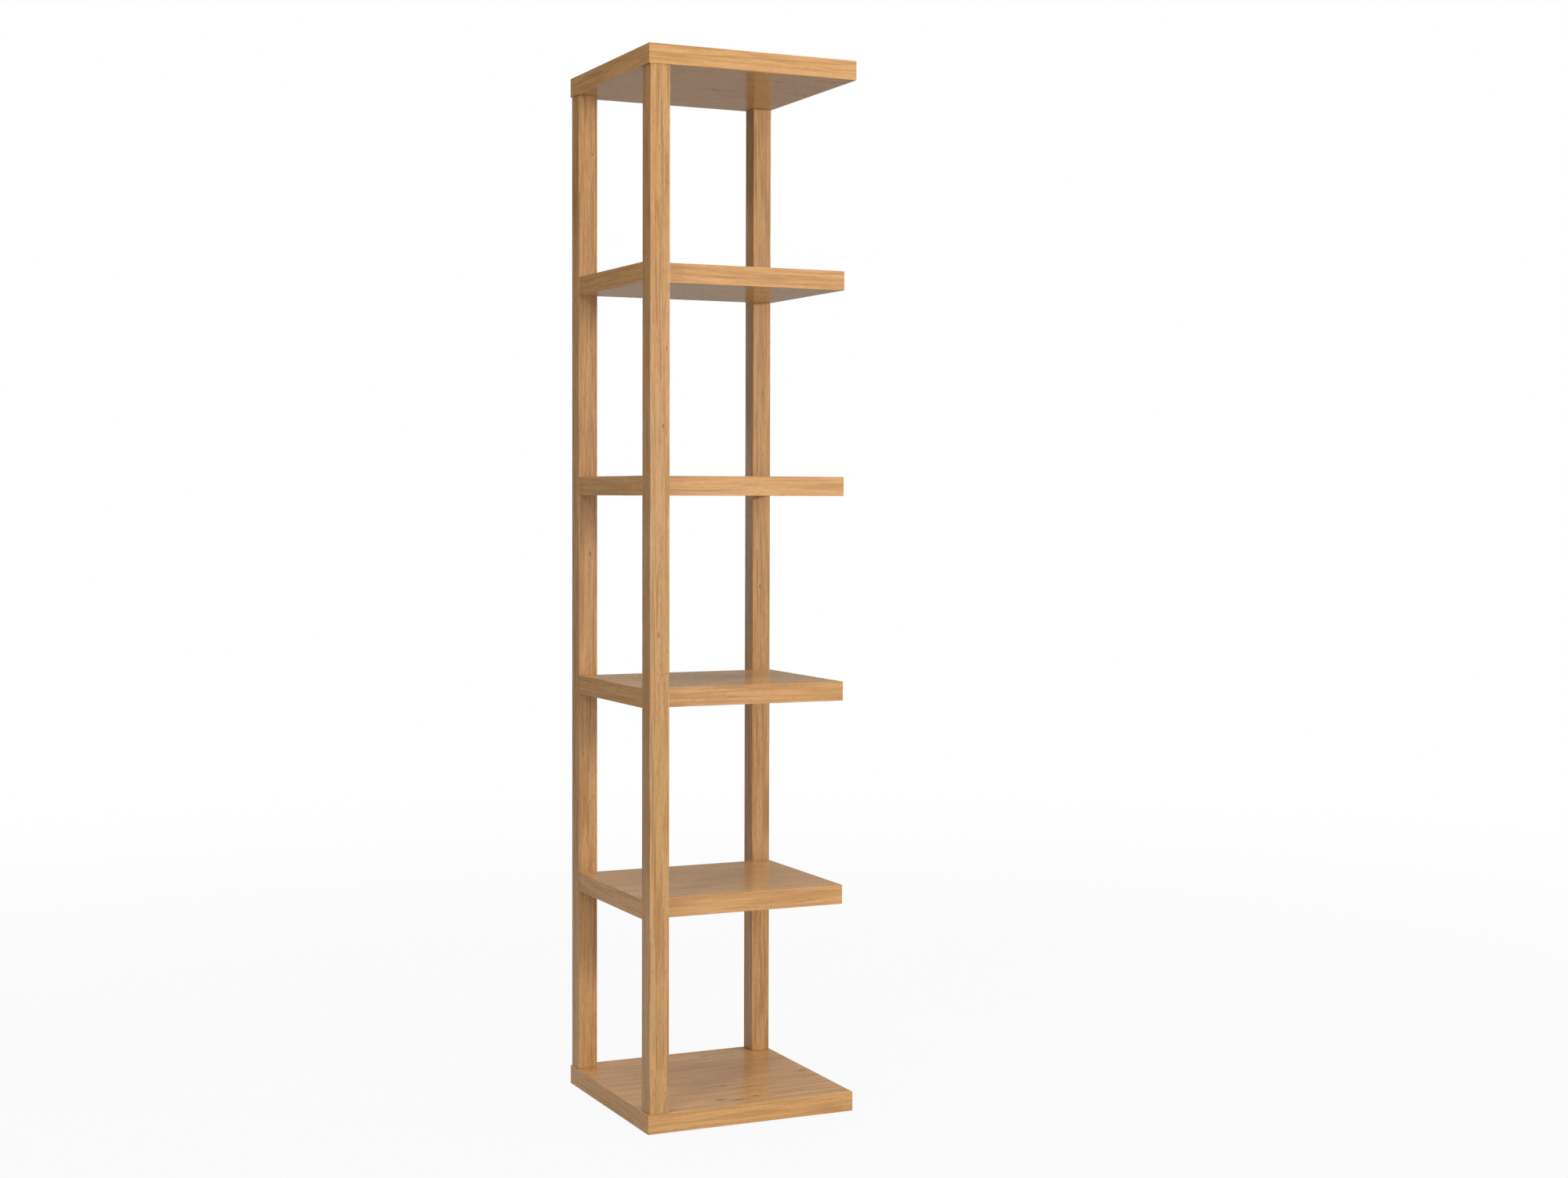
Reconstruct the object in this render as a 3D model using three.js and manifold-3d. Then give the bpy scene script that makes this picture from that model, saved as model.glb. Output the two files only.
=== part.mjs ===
// Tall open shelving unit in veneered board: a base, a top and four shelves on three square posts.
// The front right corner has no post, so every bay is open there.
// Millimetres, +Z up, +X to the right, -Y towards the front. The origin is on the floor under the middle.

import * as THREE from "three";
import { mergeVertices } from "three/addons/utils/BufferGeometryUtils.js";
import Module from "manifold-3d";

const wasm = await Module();
wasm.setup();

// ---------------------------------------------------------------- driving dimensions

const overallHeight = 1800;
const boardWidth = 378; // base and top, along X
const boardDepth = 378; // base and top, along Y
const boardThickness = 33; // base, top and shelves alike
const boardArris = 0.8; // broken edge round both faces of a board
const shelfCount = 4;

const postWidth = 35; // along X
const postDepth = 35; // along Y
const postArris = 1;
const postSideInset = 2.5; // post to the side edge of base and top
const postFaceInset = 0.8; // post to the front or back edge of base and top
const shelfSideRecess = 1; // shelf edge behind the side faces of the posts

const seatGap = 0.05; // between faces that bear on each other
const boreGap = 0.2; // between a round piece and its bore, on the radius and at the end

// Shelf to post: a stud and a dowel side by side, and a cam in the underside of the shelf.
const fixingSpacing = 16; // stud to dowel, across the post
const camRadius = 7.3;
const camWall = 1.2; // mean wall round the hollow
const camEccentricity = 0.5; // offset of the hollow, which gives the cam its pull
const camSetback = 34; // cam centre behind the edge of the shelf
const camRecess = 0.3; // drive face above the underside of the shelf
const camAboveAxis = 5; // cam above the axis of the stud
const camBelowAxis = 4.4; // hollow below the axis of the stud
const camTurn = 180; // degrees from locked to open
const camSlotLead = 30; // degrees of slot past the locked position
const camSlotGap = 0.35; // slot edge to the neck of the stud
const camEntryGap = 0.4; // entry hole to the head of the stud, on the radius
const camChamfer = 0.5;
const driveLength = 8.4; // cross slot for the screwdriver
const driveWidth = 1.7;
const driveDepth = 3.2;

const studThreadRadius = 2.5;
const studThreadLength = 11; // into the post
const studTip = 1.5;
const studShankRadius = 3.2;
const studCollarRadius = 3.9;
const studCollarLength = 1.6;
const studNeckRadius = 1.8;
const studNeckLength = 3.2;
const studHeadRadius = 3.3;
const studHeadLength = 5.5; // without its cone
const studHeadGap = 0.25; // cone of the head to the wall of the locked cam
const studShoulder = 1; // cone from neck to shank

const dowelRadius = 4;
const dowelLength = 40;
const dowelInPost = 16;
const dowelChamfer = 1;

// Base and top to post: one connector screw from outside, on the axis of the post.
const screwLength = 70;
const screwThreadRadius = 3.3;
const screwHeadRadius = 5;
const screwHeadRim = 0.6;
const screwHeadDepth = 4; // rim and cone
const screwTip = 3;
const screwTipRadius = 1.2;
const screwSocket = 4; // across the flats
const screwSocketDepth = 3;

// Cover cap over each screw in the top.
const capRadius = 7;
const capThickness = 1.6;
const capChamfer = 0.4;
const capStemRadius = 1.5;
const capStemLength = 2;
const capGap = 0.1; // under the cap

const glideHeight = 4;
const glideRadius = 12;
const glideInset = 46; // centre to both edges of the base
const glideRounding = 1.6;
const glidePinRadius = 1.4;
const glidePinLength = 14;
const glidePinTip = 1.5;

const fineSides = 16; // cams, caps and glides
const coarseSides = 8; // studs, dowels, screws and their bores
const camArcSteps = 7;

// ---------------------------------------------------------------- sizes that follow

const shelfWidth = boardWidth - 2 * (postSideInset + shelfSideRecess);
const shelfDepth = boardDepth - 2 * (postFaceInset + postDepth + seatGap);
const baseTop = glideHeight + boardThickness;
const topBottom = overallHeight - boardThickness;
const postLength = topBottom - baseTop - 2 * seatGap;
const postX = boardWidth / 2 - postSideInset - postWidth / 2;
const postY = boardDepth / 2 - postFaceInset - postDepth / 2;
const bayHeight = (topBottom - baseTop - shelfCount * boardThickness) / (shelfCount + 1);
const shelfBottom = (number) => baseTop + number * bayHeight + (number - 1) * boardThickness;

const studAxis = boardThickness / 2; // above the underside of the shelf
const camAxis = studAxis - camRecess; // above the drive face of the cam
const camLength = camAxis + camAboveAxis;
const camHollow = camRadius - camWall;
const screwSink = capThickness + capGap + boreGap; // head below the face of the board

// side is -1 at the left and 1 at the right, face is -1 at the front and 1 at the back.
const posts = [
  { name: "front_left", side: -1, face: -1 },
  { name: "back_left", side: -1, face: 1 },
  { name: "back_right", side: 1, face: 1 },
];
const corners = [...posts, { name: "front_right", side: 1, face: -1 }];
const glideX = boardWidth / 2 - glideInset;
const glideY = boardDepth / 2 - glideInset;
const studOffset = -fixingSpacing / 2; // from the middle of the post, towards the outside
const dowelOffset = fixingSpacing / 2;

// ---------------------------------------------------------------- materials

const finish = (color, roughness, metalness = 0) =>
  new THREE.MeshStandardMaterial({ color, roughness, metalness });
const oakBoard = finish(0xc79a63, 0.38);
const oakPost = finish(0xc6975f, 0.4);
const beech = finish(0xd9b88a, 0.7);
const platedSteel = finish(0xb9bcc0, 0.35, 1);
const castZinc = finish(0xa7a9ac, 0.5, 1);
const oakPlastic = finish(0xbd8f5a, 0.5);
const brownPlastic = finish(0x4a3426, 0.55);

// ---------------------------------------------------------------- solids and shapes

// A closed geometry as a solid that can be joined and cut.
function solid(geometry) {
  const bare = geometry.index ? geometry.toNonIndexed() : geometry.clone();
  bare.deleteAttribute("normal");
  bare.deleteAttribute("uv");
  const merged = mergeVertices(bare, 1e-4);
  return new wasm.Manifold(
    new wasm.Mesh({
      numProp: 3,
      vertProperties: merged.attributes.position.array,
      triVerts: new Uint32Array(merged.index.array),
    }),
  );
}

// A solid back as a geometry with flat faces.
function geometryOf(made) {
  const mesh = made.getMesh();
  const count = mesh.vertProperties.length / mesh.numProp;
  const places = new Float32Array(count * 3);
  for (let i = 0; i < count; i++) {
    const start = i * mesh.numProp;
    places.set(mesh.vertProperties.subarray(start, start + 3), i * 3);
  }
  const indexed = new THREE.BufferGeometry()
    .setAttribute("position", new THREE.BufferAttribute(places, 3))
    .setIndex(new THREE.BufferAttribute(mesh.triVerts, 1));
  const flat = indexed.toNonIndexed();
  flat.computeVertexNormals();
  return flat;
}

const cut = (geometry, cutters) =>
  geometryOf(cutters.reduce((body, cutter) => body.subtract(solid(cutter)), solid(geometry)));

// A shape turned about Z from [radius, height] pairs that start and end on the axis, going up.
const turned = (profile, sides) =>
  new THREE.LatheGeometry(
    profile.map(([radius, height]) => new THREE.Vector2(radius, height)),
    sides,
  ).rotateX(Math.PI / 2);

// A straight round cutter along Z, from one height to another.
const drill = (radius, from, to, sides = coarseSides) =>
  new THREE.CylinderGeometry(radius, radius, to - from, sides)
    .rotateX(Math.PI / 2)
    .translate(0, 0, (from + to) / 2);

// Turns what lies along Z to lie along Y, towards the back for 1 and the front for -1.
const layAlongY = (geometry, face) => geometry.rotateX((-face * Math.PI) / 2);

// A rectangle with its corners cut off by the same amount.
function outline(width, depth, corner) {
  const x = width / 2;
  const y = depth / 2;
  const shape = new THREE.Shape();
  shape.moveTo(-x + corner, -y);
  shape.lineTo(x - corner, -y);
  shape.lineTo(x, -y + corner);
  shape.lineTo(x, y - corner);
  shape.lineTo(x - corner, y);
  shape.lineTo(-x + corner, y);
  shape.lineTo(-x, y - corner);
  shape.lineTo(-x, -y + corner);
  shape.closePath();
  return shape;
}

// ---------------------------------------------------------------- boards

// A plain board lying flat with its underside at z 0.
const board = (width, depth) =>
  new THREE.ExtrudeGeometry(outline(width, depth, boardArris), {
    depth: boardThickness - 2 * boardArris,
    bevelEnabled: true,
    bevelThickness: boardArris,
    bevelSize: boardArris,
    bevelOffset: -boardArris,
    bevelSegments: 1,
    steps: 1,
  }).translate(0, 0, boardArris);

// Countersunk hole for a screw that goes up through a board from its face at z 0.
function screwHole() {
  const shank = screwThreadRadius + boreGap;
  const head = screwHeadRadius + boreGap;
  const rim = screwSink + screwHeadRim + boreGap;
  return turned(
    [
      [0, -1],
      [head, -1],
      [head, rim],
      [shank, screwSink + screwHeadDepth + boreGap],
      [shank, boardThickness + 1],
      [0, boardThickness + 1],
    ],
    coarseSides,
  );
}

function baseGeometry() {
  const pinHole = drill(glidePinRadius + boreGap, -1, glidePinLength + boreGap);
  return cut(board(boardWidth, boardDepth), [
    ...posts.map(({ side, face }) => screwHole().translate(side * postX, face * postY, 0)),
    ...corners.map(({ side, face }) =>
      pinHole.clone().translate(side * glideX, face * glideY, 0),
    ),
  ]);
}

function topGeometry() {
  const capSeat = drill(capRadius + boreGap, -1, capThickness + capGap, fineSides);
  return cut(
    board(boardWidth, boardDepth),
    posts.flatMap(({ side, face }) =>
      [screwHole(), capSeat.clone()].map((cutter) =>
        cutter.rotateX(Math.PI).translate(side * postX, face * postY, boardThickness),
      ),
    ),
  );
}

function shelfGeometry() {
  const studBore = drill(studCollarRadius + boreGap, -1, camSetback);
  const dowelBore = drill(dowelRadius + boreGap, -1, dowelLength - dowelInPost + boreGap);
  const camPocket = drill(camRadius + boreGap, -1, camRecess + camLength + boreGap, fineSides);
  return cut(
    board(shelfWidth, shelfDepth),
    posts.flatMap(({ side, face }) => {
      const edge = (face * shelfDepth) / 2;
      const studX = side * (postX + studOffset);
      const dowelX = side * (postX + dowelOffset);
      return [
        layAlongY(studBore.clone(), -face).translate(studX, edge, studAxis),
        layAlongY(dowelBore.clone(), -face).translate(dowelX, edge, studAxis),
        camPocket.clone().translate(studX, edge - face * camSetback, 0),
      ];
    }),
  );
}

// ---------------------------------------------------------------- posts

// A post standing on z 0, bored for its shelves in the face that looks at them.
function postGeometry({ side, face }) {
  const blank = new THREE.ExtrudeGeometry(outline(postWidth, postDepth, postArris), {
    depth: postLength,
    bevelEnabled: false,
    steps: 1,
  });
  const screwReach = screwSink + screwLength - boardThickness + boreGap;
  const screwBore = drill(screwThreadRadius + boreGap, -1, screwReach);
  const studBore = drill(studThreadRadius + boreGap, -1, studThreadLength + boreGap);
  const dowelBore = drill(dowelRadius + boreGap, -1, dowelInPost + boreGap);
  const cutters = [
    screwBore,
    screwBore.clone().rotateX(Math.PI).translate(0, 0, postLength),
  ];
  for (let number = 1; number <= shelfCount; number++) {
    const z = shelfBottom(number) + studAxis - baseTop - seatGap;
    const y = (-face * postDepth) / 2;
    cutters.push(layAlongY(studBore.clone(), face).translate(side * studOffset, y, z));
    cutters.push(layAlongY(dowelBore.clone(), face).translate(side * dowelOffset, y, z));
  }
  return cut(blank, cutters);
}

// ---------------------------------------------------------------- fixings

// Stud along Z: z 0 is the edge of the shelf, the thread goes up into the post, the head hangs in the cam.
function studGeometry() {
  const wall = camHollow - camEccentricity - camSetback; // inside of the locked cam
  const cone = studHeadRadius - studNeckRadius; // 45 degrees, and it meets the edges of the slot
  const neckStart = wall - studHeadGap + camSlotGap;
  const neckEnd = neckStart + studNeckLength;
  const headBack = neckStart - cone;
  const headFront = headBack - studHeadLength;
  return turned(
    [
      [0, headFront],
      [studHeadRadius - studShoulder, headFront],
      [studHeadRadius, headFront + studShoulder],
      [studHeadRadius, headBack],
      [studNeckRadius, neckStart],
      [studNeckRadius, neckEnd],
      [studShankRadius, neckEnd + studShoulder],
      [studShankRadius, -studCollarLength - seatGap],
      [studCollarRadius, -studCollarLength - seatGap],
      [studCollarRadius, -seatGap],
      [studThreadRadius, -seatGap],
      [studThreadRadius, studThreadLength - studTip],
      [studThreadRadius / 2, studThreadLength],
      [0, studThreadLength],
    ],
    coarseSides,
  );
}

// Dowel along Z: z 0 is the edge of the shelf, and the longer part hangs into the shelf.
const dowelGeometry = () =>
  turned(
    [
      [0, dowelInPost - dowelLength],
      [dowelRadius - dowelChamfer, dowelInPost - dowelLength],
      [dowelRadius, dowelInPost - dowelLength + dowelChamfer],
      [dowelRadius, dowelInPost - dowelChamfer],
      [dowelRadius - dowelChamfer, dowelInPost],
      [0, dowelInPost],
    ],
    coarseSides,
  );

// Locked cam with its drive face at z 0, held by a stud that comes from +Y.
// To open it turns clockwise seen from above, so that its slot passes the stud and its entry hole arrives.
function camGeometry() {
  const body = turned(
    [
      [0, 0],
      [camRadius - camChamfer, 0],
      [camRadius, camChamfer],
      [camRadius, camLength],
      [0, camLength],
    ],
    fineSides,
  );
  const hollow = drill(camHollow, camAxis - camBelowAxis, camLength + 1, fineSides);
  hollow.translate(0, -camEccentricity, 0);
  const from = Math.PI / 2 - THREE.MathUtils.degToRad(camSlotLead);
  const to = Math.PI / 2 + THREE.MathUtils.degToRad(camTurn);
  const sector = new THREE.Shape();
  sector.absarc(0, 0, camRadius + 1, from, to, false);
  sector.absarc(0, 0, camHollow / 2, to, from, true);
  sector.closePath();
  const slotHeight = 2 * (studNeckRadius + camSlotGap);
  const slot = new THREE.ExtrudeGeometry(sector, {
    depth: slotHeight,
    bevelEnabled: false,
    curveSegments: camArcSteps,
  }).translate(0, 0, camAxis - slotHeight / 2);
  const entry = drill(studHeadRadius + camEntryGap, camHollow / 2, camRadius + 1);
  layAlongY(entry, -1).translate(0, 0, camAxis);
  const drives = [0, Math.PI / 2].map((angle) =>
    new THREE.BoxGeometry(driveLength, driveWidth, 2 * driveDepth).rotateZ(angle),
  );
  return cut(body, [hollow, slot, entry, ...drives]);
}

// Screw along Z with the face of its head at z 0 and its point up.
function screwGeometry() {
  const body = turned(
    [
      [0, 0],
      [screwHeadRadius, 0],
      [screwHeadRadius, screwHeadRim],
      [screwThreadRadius, screwHeadDepth],
      [screwThreadRadius, screwLength - screwTip],
      [screwTipRadius, screwLength],
      [0, screwLength],
    ],
    coarseSides,
  );
  const hexagon = screwSocket / 2 / Math.cos(Math.PI / 6);
  return cut(body, [drill(hexagon, -1, screwSocketDepth, 6)]);
}

// Cover cap with its face up at z 0 and its stem down.
const capGeometry = () =>
  turned(
    [
      [0, -capThickness - capStemLength],
      [capStemRadius, -capThickness - capStemLength],
      [capStemRadius, -capThickness],
      [capRadius, -capThickness],
      [capRadius, -capChamfer],
      [capRadius - capChamfer, 0],
      [0, 0],
    ],
    fineSides,
  );

// Glide standing on z 0 with its pin up.
function glideGeometry() {
  const pad = glideHeight - seatGap;
  return turned(
    [
      [0, 0],
      [glideRadius - glideRounding, 0],
      [glideRadius - glideRounding / 3, glideRounding / 3],
      [glideRadius, glideRounding],
      [glideRadius, pad],
      [glidePinRadius, pad],
      [glidePinRadius, glideHeight + glidePinLength - glidePinTip],
      [0, glideHeight + glidePinLength],
    ],
    fineSides,
  );
}

// ---------------------------------------------------------------- assembly

// A named piece, put at x, y, z in its group.
function place(group, name, geometry, material, x = 0, y = 0, z = 0) {
  const mesh = new THREE.Mesh(geometry, material);
  mesh.name = name;
  mesh.position.set(x, y, z);
  group.add(mesh);
  return mesh;
}

const shelvingUnit = new THREE.Group();

place(shelvingUnit, "base_board", baseGeometry(), oakBoard, 0, 0, glideHeight);
place(shelvingUnit, "top_board", topGeometry(), oakBoard, 0, 0, topBottom);

const glide = glideGeometry();
for (const { name, side, face } of corners) {
  place(shelvingUnit, `glide_${name}`, glide, brownPlastic, side * glideX, face * glideY, 0);
}

const screw = screwGeometry();
const cap = capGeometry();
for (const post of posts) {
  const x = post.side * postX;
  const y = post.face * postY;
  const standing = baseTop + seatGap;
  place(shelvingUnit, `post_${post.name}`, postGeometry(post), oakPost, x, y, standing);
  const lower = `base_screw_${post.name}`;
  place(shelvingUnit, lower, screw, platedSteel, x, y, glideHeight + screwSink);
  const upper = `top_screw_${post.name}`;
  const hanging = place(shelvingUnit, upper, screw, platedSteel, x, y, overallHeight - screwSink);
  hanging.rotation.x = Math.PI;
  place(shelvingUnit, `screw_cap_${post.name}`, cap, oakPlastic, x, y, overallHeight);
}

const shelf = shelfGeometry();
const stud = studGeometry();
const dowel = dowelGeometry();
const cam = camGeometry();
for (let number = 1; number <= shelfCount; number++) {
  const level = new THREE.Group();
  level.position.z = shelfBottom(number);
  shelvingUnit.add(level);
  place(level, `shelf_${number}`, shelf, oakBoard);
  for (const { name, side, face } of posts) {
    const edge = (face * shelfDepth) / 2;
    const studX = side * (postX + studOffset);
    const dowelX = side * (postX + dowelOffset);
    const camY = edge - face * camSetback;
    const tail = `${number}_${name}`;
    const alongStud = layAlongY(stud.clone(), face);
    const alongDowel = layAlongY(dowel.clone(), face);
    place(level, `stud_${tail}`, alongStud, platedSteel, studX, edge, studAxis);
    place(level, `dowel_${tail}`, alongDowel, beech, dowelX, edge, studAxis);
    const turn = place(level, `cam_${tail}`, cam, castZinc, studX, camY, camRecess);
    turn.rotation.z = face > 0 ? 0 : Math.PI;
  }
}

export default shelvingUnit;
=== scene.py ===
"""Finishes and small parts for a tall open shelving unit in oak veneer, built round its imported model."""

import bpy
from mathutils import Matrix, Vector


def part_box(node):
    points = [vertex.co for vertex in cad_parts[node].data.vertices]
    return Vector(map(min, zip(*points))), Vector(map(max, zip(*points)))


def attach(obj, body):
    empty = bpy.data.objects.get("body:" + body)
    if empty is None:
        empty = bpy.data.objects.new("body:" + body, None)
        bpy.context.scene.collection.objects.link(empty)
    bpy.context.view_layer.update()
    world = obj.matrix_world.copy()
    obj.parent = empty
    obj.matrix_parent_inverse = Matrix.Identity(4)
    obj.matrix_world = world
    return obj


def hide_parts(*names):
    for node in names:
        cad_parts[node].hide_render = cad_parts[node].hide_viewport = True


bl_info = {
    "name": "Open Shelving Unit",
    "version": (1, 0, 0),
    "blender": (4, 5, 0),
    "location": "3D View > Sidebar > Shelving",
    "description": "Oak panels, edge bands, posts, cams, caps and glides for an open shelving unit",
    "category": "Add Mesh",
}

import math

import bmesh
import bpy
from mathutils import Matrix, Vector

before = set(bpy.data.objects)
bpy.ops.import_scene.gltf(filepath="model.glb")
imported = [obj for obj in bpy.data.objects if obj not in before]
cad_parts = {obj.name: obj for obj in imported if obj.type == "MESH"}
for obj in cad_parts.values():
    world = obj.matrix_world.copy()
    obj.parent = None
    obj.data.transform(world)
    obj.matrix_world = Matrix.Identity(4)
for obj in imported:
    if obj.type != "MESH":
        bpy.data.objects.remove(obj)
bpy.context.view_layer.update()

MM = 0.001
POSTS = {"front_left": -1, "back_left": 1, "back_right": 1}  # 1 where the post stands behind the shelves
SHELVES = sorted(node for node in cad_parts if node.startswith("shelf_"))
BOARDS = ["base_board", "top_board", *SHELVES]
LEVELS = [shelf.split("_")[1] for shelf in SHELVES]
MAIN_BODY = "frame"
SHANK_BORE = 3.5 * MM  # radii of the holes for connector screws, studs and dowels
STUD_BORE = 2.5 * MM
DOWEL_BORE = 4.0 * MM


# ---------------------------------------------------------------- settings


def length(name, description, default):
    """A length in metres that shows in the unit of the scene."""
    return bpy.props.FloatProperty(
        name=name, description=description, default=default, min=0.0, unit="LENGTH", precision=4
    )


def shade(name, description, default):
    """A linear colour."""
    return bpy.props.FloatVectorProperty(
        name=name, description=description, default=default, size=3, min=0.0, max=1.0, subtype="COLOR"
    )


def share(name, description, default):
    """A number from 0 to 1."""
    return bpy.props.FloatProperty(
        name=name, description=description, default=default, min=0.0, max=1.0, subtype="FACTOR"
    )


def watts(name, description, default):
    """The power of a light."""
    return bpy.props.FloatProperty(
        name=name, description=description, default=default, min=0.0, subtype="POWER"
    )


class OakSettings(bpy.types.PropertyGroup):
    """Boards, edge bands and posts."""

    band_thickness: length("Band thickness", "Thickness of the edge bands", 1.0 * MM)
    band_arris: length("Band arris", "Radius of the outer edges of the bands", 0.6 * MM)
    post_arris: length("Post arris", "Radius of the long edges of the posts", 1.0 * MM)
    end_arris: length("End arris", "Radius round the ends of the posts", 0.5 * MM)
    seam: length("Seam", "Gap between a board and its bands", 0.03 * MM)
    bore_gap: length("Bore gap", "Clearance round what sits in a bore, on the radius", 0.2 * MM)
    light: shade("Light wood", "Colour between the grain lines", (0.560, 0.308, 0.120))
    dark: shade("Dark wood", "Colour of the late wood", (0.385, 0.186, 0.060))
    pore: shade("Pores", "Colour in the pores", (0.245, 0.105, 0.032))
    knot: shade("Knots", "Colour in the middle of a knot", (0.150, 0.070, 0.027))
    roughness: share("Roughness", "Roughness of the satin lacquer", 0.20)


class FixingSettings(bpy.types.PropertyGroup):
    """Cams, screws, caps and glides."""

    zinc: shade("Zinc", "Colour of the cast cams", (0.60, 0.61, 0.62))
    plating: shade("Plating", "Colour of the plated screws and studs", (0.72, 0.73, 0.74))
    beech: shade("Beech", "Colour of the dowels", (0.62, 0.42, 0.235))
    cap: shade("Caps", "Colour of the cover caps", (0.44, 0.25, 0.105))
    glide: shade("Glides", "Colour of the glides", (0.060, 0.035, 0.022))


class StageSettings(bpy.types.PropertyGroup):
    """Camera, floor and lights."""

    camera_place: bpy.props.FloatVectorProperty(
        name="Camera place", description="Where the camera stands", size=3, subtype="TRANSLATION",
        unit="LENGTH", default=(-1.6071, -3.7646, 1.0646),
    )
    camera_turn: bpy.props.FloatProperty(
        name="Turn", description="Turn of the camera to the left", subtype="ANGLE",
        default=math.radians(-24.943),
    )
    camera_tilt: bpy.props.FloatProperty(
        name="Tilt", description="Tilt of the camera upwards", subtype="ANGLE",
        default=math.radians(-1.934),
    )
    camera_roll: bpy.props.FloatProperty(
        name="Roll", description="Roll of the camera", subtype="ANGLE", default=math.radians(0.167)
    )
    camera_lens: bpy.props.FloatProperty(
        name="Lens", description="Focal length in millimetres", default=53.77, min=1.0
    )
    camera_shift: bpy.props.FloatProperty(
        name="Shift", description="Shift of the picture upwards, as a share of its width", default=-0.01
    )
    floor_size: length("Floor", "Side of the square floor", 60.0)
    floor_color: shade("Floor colour", "Plain pale floor", (0.35, 0.35, 0.35))
    bounce_color: shade(
        "Bounce colour", "Colour of the light from the floor and from behind", (1.0, 0.95, 0.80)
    )
    # Painted light: the floor itself glows round the unit, standing in for the light a lit floor throws back.
    floor_painted_glow: share("Floor glow", "Light that the lit floor round the unit throws back", 0.27)
    dome: share("Dome", "Light from overhead, all round", 0.42)
    front_power: watts("Front light", "Broad panel in front", 118.0)
    key_power: watts("Key light", "Square panel in front, to the right", 200.0)
    over_power: watts("Overhead light", "Broad panel above", 125.0)
    left_power: watts("Left light", "Panel to the left", 32.0)
    back_power: watts("Back light", "Low panel behind, mirrored in the lacquer", 7.0)
    side_power: watts("Side light", "Small light in front, to the left and above the top", 18.0)
    fill_power: watts("Rear fill", "Panel straight behind, for the backs of boards and posts", 60.0)
    rear_power: watts("Rear light", "Panel behind and above, for the backs of the shelves", 32.0)


# ---------------------------------------------------------------- shaders


class Wire:
    """An output socket of a shader. Sums on wires add Math nodes."""

    def __init__(self, shader, socket):
        self.shader = shader
        self.socket = socket

    def math(self, operation, *values):
        return self.shader.math(operation, self, *values)

    def __add__(self, other):
        return self.math("ADD", other)

    def __sub__(self, other):
        return self.math("SUBTRACT", other)

    def __rsub__(self, other):
        return self.shader.math("SUBTRACT", other, self)

    def __mul__(self, other):
        return self.math("MULTIPLY", other)

    def __truediv__(self, other):
        return self.math("DIVIDE", other)

    def __pow__(self, other):
        return self.math("POWER", other)

    __radd__ = __add__
    __rmul__ = __mul__


class Shader:
    """A material under construction."""

    def __init__(self, name, tree=None):
        self.material = None
        if tree is None:
            self.material = bpy.data.materials.new(name)
            self.material.use_nodes = True
            tree = self.material.node_tree
        tree.nodes.clear()
        self.tree = tree

    def node(self, kind, settings=None, inputs=None):
        """Adds a node. Its settings are set first, then its sockets take values or wires."""
        made = self.tree.nodes.new(kind)
        for key, value in (settings or {}).items():
            setattr(made, key, value)
        for key, value in (inputs or {}).items():
            if isinstance(value, Wire):
                self.tree.links.new(value.socket, made.inputs[key])
            else:
                made.inputs[key].default_value = value
        return made

    def wire(self, kind, settings=None, inputs=None, output=0):
        """Adds a node and gives one of its outputs."""
        return Wire(self, self.node(kind, settings, inputs).outputs[output])

    def math(self, operation, *values):
        return self.wire("ShaderNodeMath", {"operation": operation}, dict(enumerate(values)))

    def axes(self, vector):
        """The three numbers of a vector."""
        made = self.node("ShaderNodeSeparateXYZ", None, {0: vector})
        return [Wire(self, made.outputs[index]) for index in range(3)]

    def point(self, x, y, z):
        return self.wire("ShaderNodeCombineXYZ", None, {0: x, 1: y, 2: z})

    def noise(self, vector, detail=2.0, roughness=0.5):
        """Noise from 0 to 1 with one cycle per unit of the vector."""
        inputs = {"Vector": vector, "Scale": 1.0, "Detail": detail, "Roughness": roughness}
        return self.wire("ShaderNodeTexNoise", {"noise_dimensions": "3D"}, inputs)

    def between(self, value, low, high):
        """0 below low, 1 above high and smooth between them."""
        inputs = {"Value": value, "From Min": low, "From Max": high}
        return self.wire("ShaderNodeMapRange", {"interpolation_type": "SMOOTHSTEP"}, inputs)

    def blend(self, factor, first, second):
        """Mixes two colours."""
        made = self.node("ShaderNodeMix", {"data_type": "RGBA"})
        for index, value in ((0, factor), (6, first), (7, second)):
            if isinstance(value, Wire):
                self.tree.links.new(value.socket, made.inputs[index])
            elif index == 0:
                made.inputs[index].default_value = value
            else:
                made.inputs[index].default_value = (*value, 1.0)
        return Wire(self, made.outputs[2])

    def bump(self, height, distance, strength):
        inputs = {"Height": height, "Distance": distance, "Strength": strength}
        return self.wire("ShaderNodeBump", None, inputs)

    def finish(self, **sockets):
        """Ends in a Principled BSDF. Names are its sockets', with _ for a space."""
        inputs = {name.replace("_", " "): value for name, value in sockets.items()}
        surface = self.wire("ShaderNodeBsdfPrincipled", None, inputs)
        self.node("ShaderNodeOutputMaterial", None, {"Surface": surface})
        return self.material


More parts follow.
